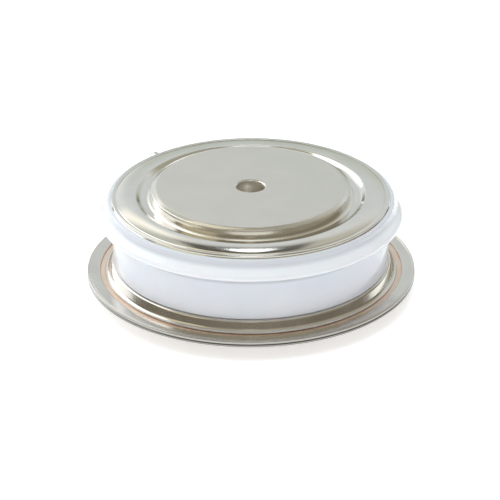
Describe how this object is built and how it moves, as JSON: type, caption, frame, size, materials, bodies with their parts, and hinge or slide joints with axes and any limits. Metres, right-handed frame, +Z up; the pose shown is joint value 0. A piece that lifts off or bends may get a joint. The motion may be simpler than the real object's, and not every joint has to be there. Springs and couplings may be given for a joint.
{
  "type": "disc power rectifier",
  "caption": "Press-fit disc capsule of a controlled power rectifier: flat nickel-plated contacts, glazed ceramic ring with a bead, thin welded flange and a side gate pin.",
  "frame": {"origin": "centre of the lower contact face, at the mouth of its locating hole", "axes": "+Z up through the capsule, from the lower contact that carries the flange to the upper contact with the cap; +X to the right and +Y away from the front; the gate pin points to the rear left, 120 degrees from +X"},
  "size_m": [0.0414, 0.0431, 0.014],
  "materials": {
    "plated_contact": "satin",
    "plated_sheet": "satin",
    "braze": "satin",
    "ceramic": "gloss",
    "silver_foil": "satin",
    "molybdenum": "satin",
    "silicon": "polished",
    "edge_rubber": "matte",
    "white_plastic": "matte",
    "spring_steel": "satin",
    "mica": "gloss",
    "gate_silver": "satin",
    "seal_tube": "satin",
    "plated_pin": "satin"
  },
  "bodies": {
    "root": {"anode_pole": "plated_contact", "anode_flange": "plated_sheet", "anode_braze": "braze", "housing_flange": "plated_sheet", "ceramic_ring": "ceramic", "cathode_cap": "plated_sheet", "cathode_pole": "plated_contact", "cathode_braze": "braze", "anode_foil": "silver_foil", "anode_disc": "molybdenum", "silicon_wafer": "silicon", "edge_coat": "edge_rubber", "centring_ring": "white_plastic", "cathode_disc": "molybdenum", "cathode_foil": "silver_foil", "gate_contact": "gate_silver", "gate_spring_1": "spring_steel", "gate_spring_2": "spring_steel", "gate_spring_3": "spring_steel", "gate_spring_4": "spring_steel", "gate_mica": "mica", "gate_sleeve": "white_plastic", "gate_lead": "gate_silver", "lead_sleeve": "white_plastic", "gate_tube": "seal_tube", "gate_pin": "plated_pin"}
  },
  "joints": []
}
